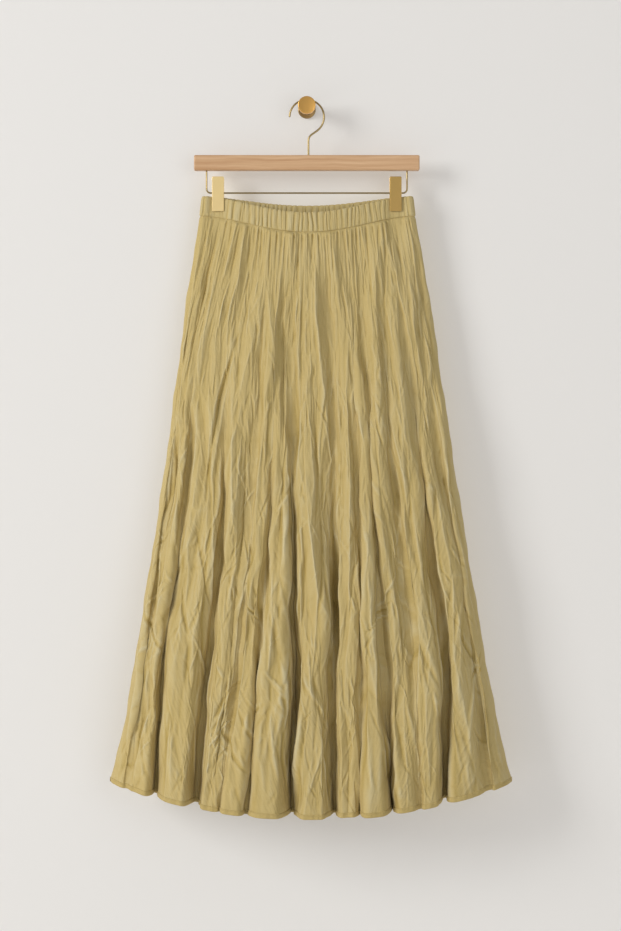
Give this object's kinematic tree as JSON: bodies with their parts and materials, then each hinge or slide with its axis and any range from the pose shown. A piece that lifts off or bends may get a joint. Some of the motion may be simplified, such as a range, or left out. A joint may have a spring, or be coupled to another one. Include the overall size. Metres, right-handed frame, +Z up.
{
  "type": "crinkle skirt on a clip hanger and wall peg",
  "caption": "Long flared crinkle-cotton skirt with a gathered elastic waistband, held by brass clips on a wooden bar hanger that hangs on a brass wall peg.",
  "frame": {"origin": "middle of the wall peg's back face, on the wall", "axes": "+Z up, -Y straight out of the wall towards the viewer, X along the hanger's bar"},
  "size_m": [0.577, 0.1517, 1.033],
  "materials": {
    "cloth": "matt crinkled cotton, olive khaki",
    "wood": "satin, fine straight grain",
    "brass": "satin"
  },
  "bodies": {
    "root": {"skirt_front": "cloth", "skirt_back": "cloth", "waistband_front": "cloth", "waistband_back": "cloth", "hem_front": "cloth", "hem_back": "cloth", "hanger_bar": "wood", "hanger_hook": "brass", "hanger_rail": "brass", "clip_front_left": "brass", "clip_back_left": "brass", "clip_barrel_left": "brass", "clip_front_right": "brass", "clip_back_right": "brass", "clip_barrel_right": "brass", "wall_peg": "brass"}
  },
  "joints": []
}
